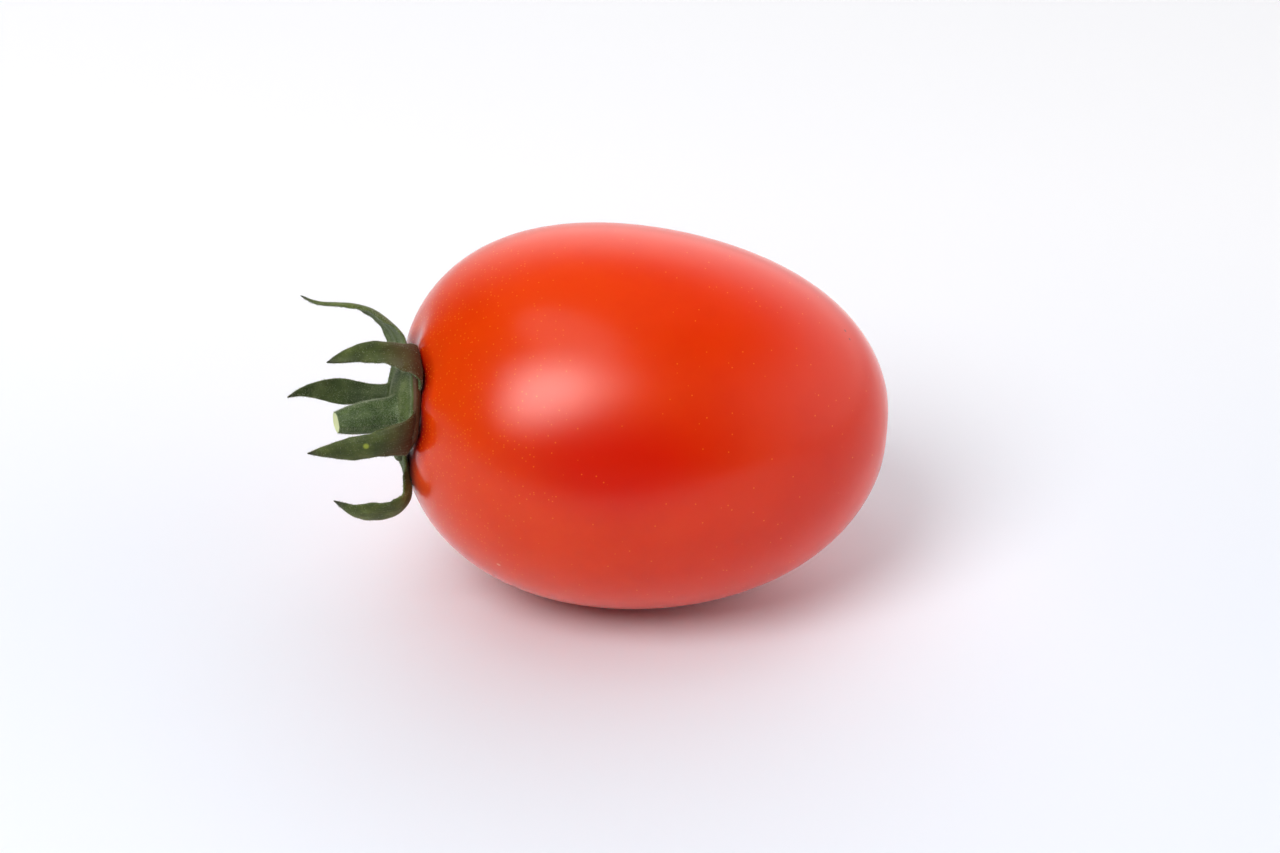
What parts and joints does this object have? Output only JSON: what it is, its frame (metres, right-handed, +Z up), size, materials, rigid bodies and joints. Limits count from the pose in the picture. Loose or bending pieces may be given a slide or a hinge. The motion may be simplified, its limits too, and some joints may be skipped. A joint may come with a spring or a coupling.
{
  "type": "plum tomato",
  "caption": "Small egg-shaped plum tomato lying on its side, with a green star-shaped calyx of narrow pointed sepals and a short cut stem.",
  "frame": {"origin": "bottom centre of the whole object's box, on the surface that the fruit lies on", "axes": "+Z up, the fruit's length along X with the stem end towards -X, the viewer's side towards -Y"},
  "size_m": [0.0428, 0.0274, 0.0275],
  "materials": {
    "fruit_skin": "thin, smooth and waxy red skin with soft highlights, slightly orange at the stem end",
    "calyx_green": "matt, finely hairy olive-green leaf tissue, darker towards the tips",
    "stem_green": "matt, hairy grey-green stalk with a pale cut face"
  },
  "bodies": {
    "root": {"fruit": "fruit_skin", "calyx": "calyx_green", "stem": "stem_green"}
  },
  "joints": []
}
